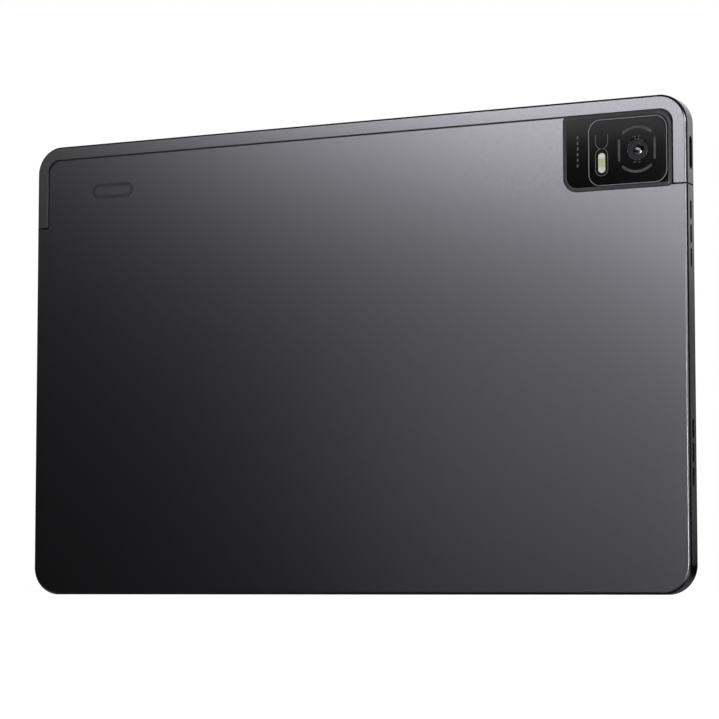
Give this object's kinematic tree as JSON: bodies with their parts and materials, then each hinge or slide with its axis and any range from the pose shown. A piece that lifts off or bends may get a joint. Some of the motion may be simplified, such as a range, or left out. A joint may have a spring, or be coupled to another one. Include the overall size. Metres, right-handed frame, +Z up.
{
  "type": "tablet computer",
  "caption": "Slim tablet computer with a metal rear cover, plastic antenna strip, raised camera island, side keys, socket and card tray.",
  "frame": {"origin": "middle of the long bottom edge, halfway through the thickness", "axes": "+X along the long side, away from the camera's side; +Y out of the rear; +Z up the short side"},
  "size_m": [0.2566, 0.0085, 0.1672],
  "materials": {
    "anodised_aluminium": "satin",
    "painted_plastic": "satin",
    "black_glass": "gloss",
    "clear_glass": "gloss",
    "flash_lens": "gloss",
    "dark_metal": "satin",
    "display_glass": "gloss",
    "white_film": "satin",
    "frame_alloy": "satin",
    "pouch_foil": "satin",
    "board_green": "satin",
    "chip_black": "matte",
    "steel": "satin",
    "flex_amber": "satin",
    "black_plastic": "matte",
    "graphite": "matte",
    "mesh_cloth": "matte"
  },
  "bodies": {
    "housing": {"rear_cover": "anodised_aluminium", "antenna_cover": "painted_plastic", "camera_plate": "black_glass", "camera_window": "black_glass", "camera_lens": "clear_glass", "front_camera_lens": "clear_glass", "flash_lens": "flash_lens", "flash_led": "flash_lens", "camera_barrel": "dark_metal", "cover_glass": "display_glass", "display_panel": "display_glass", "backlight_unit": "white_film", "mid_frame": "frame_alloy", "battery_cell_right": "pouch_foil", "battery_cell_left": "pouch_foil", "battery_board": "board_green", "mainboard": "board_green", "sub_board": "board_green", "processor_chip": "chip_black", "memory_chip": "chip_black", "microphone": "chip_black", "camera_connector": "chip_black", "link_connector_main": "chip_black", "link_connector_sub": "chip_black", "shield_can_processor": "steel", "shield_can_radio": "steel", "usb_c_shell": "steel", "card_reader": "steel", "power_switch": "steel", "power_bracket": "steel", "volume_switch_up": "steel", "volume_switch_down": "steel", "mainboard_screw_1": "steel", "mainboard_screw_2": "steel", "mainboard_screw_3": "steel", "mainboard_screw_4": "steel", "sub_board_screw_1": "steel", "sub_board_screw_2": "steel", "rear_camera_flex": "flex_amber", "display_flex": "flex_amber", "battery_flex": "flex_amber", "link_flex": "flex_amber", "side_key_flex": "flex_amber", "antenna_wifi": "flex_amber", "antenna_cellular": "flex_amber", "rear_camera_module": "black_plastic", "front_camera_module": "black_plastic", "usb_c_tongue": "black_plastic", "speaker_lower_right": "black_plastic", "speaker_lower_left": "black_plastic", "speaker_upper_right": "black_plastic", "speaker_upper_left": "black_plastic", "graphite_sheet": "graphite", "speaker_mesh_lower_right": "mesh_cloth", "speaker_mesh_lower_left": "mesh_cloth", "speaker_mesh_upper_right": "mesh_cloth", "speaker_mesh_upper_left": "mesh_cloth"},
    "power": {"power_button": "dark_metal"},
    "volume": {"volume_key": "anodised_aluminium"},
    "tray": {"card_tray": "anodised_aluminium"}
  },
  "joints": [
    {"name": "power_press", "type": "slide", "parent": "housing", "child": "power", "axis": [1, 0, 0], "range_m": [0, 0.00035], "stiffness_N_per_m": 1500},
    {"name": "volume_rock", "type": "hinge", "parent": "housing", "child": "volume", "pos_m": [-0.10365, -0.0006, 0.1654], "axis": [0, 1, 0], "range_deg": [-1.5, 1.5], "stiffness_Nm_per_rad": 0.2},
    {"name": "tray_slide", "type": "slide", "parent": "housing", "child": "tray", "axis": [1, 0, 0], "range_m": [0, 0.022]}
  ]
}
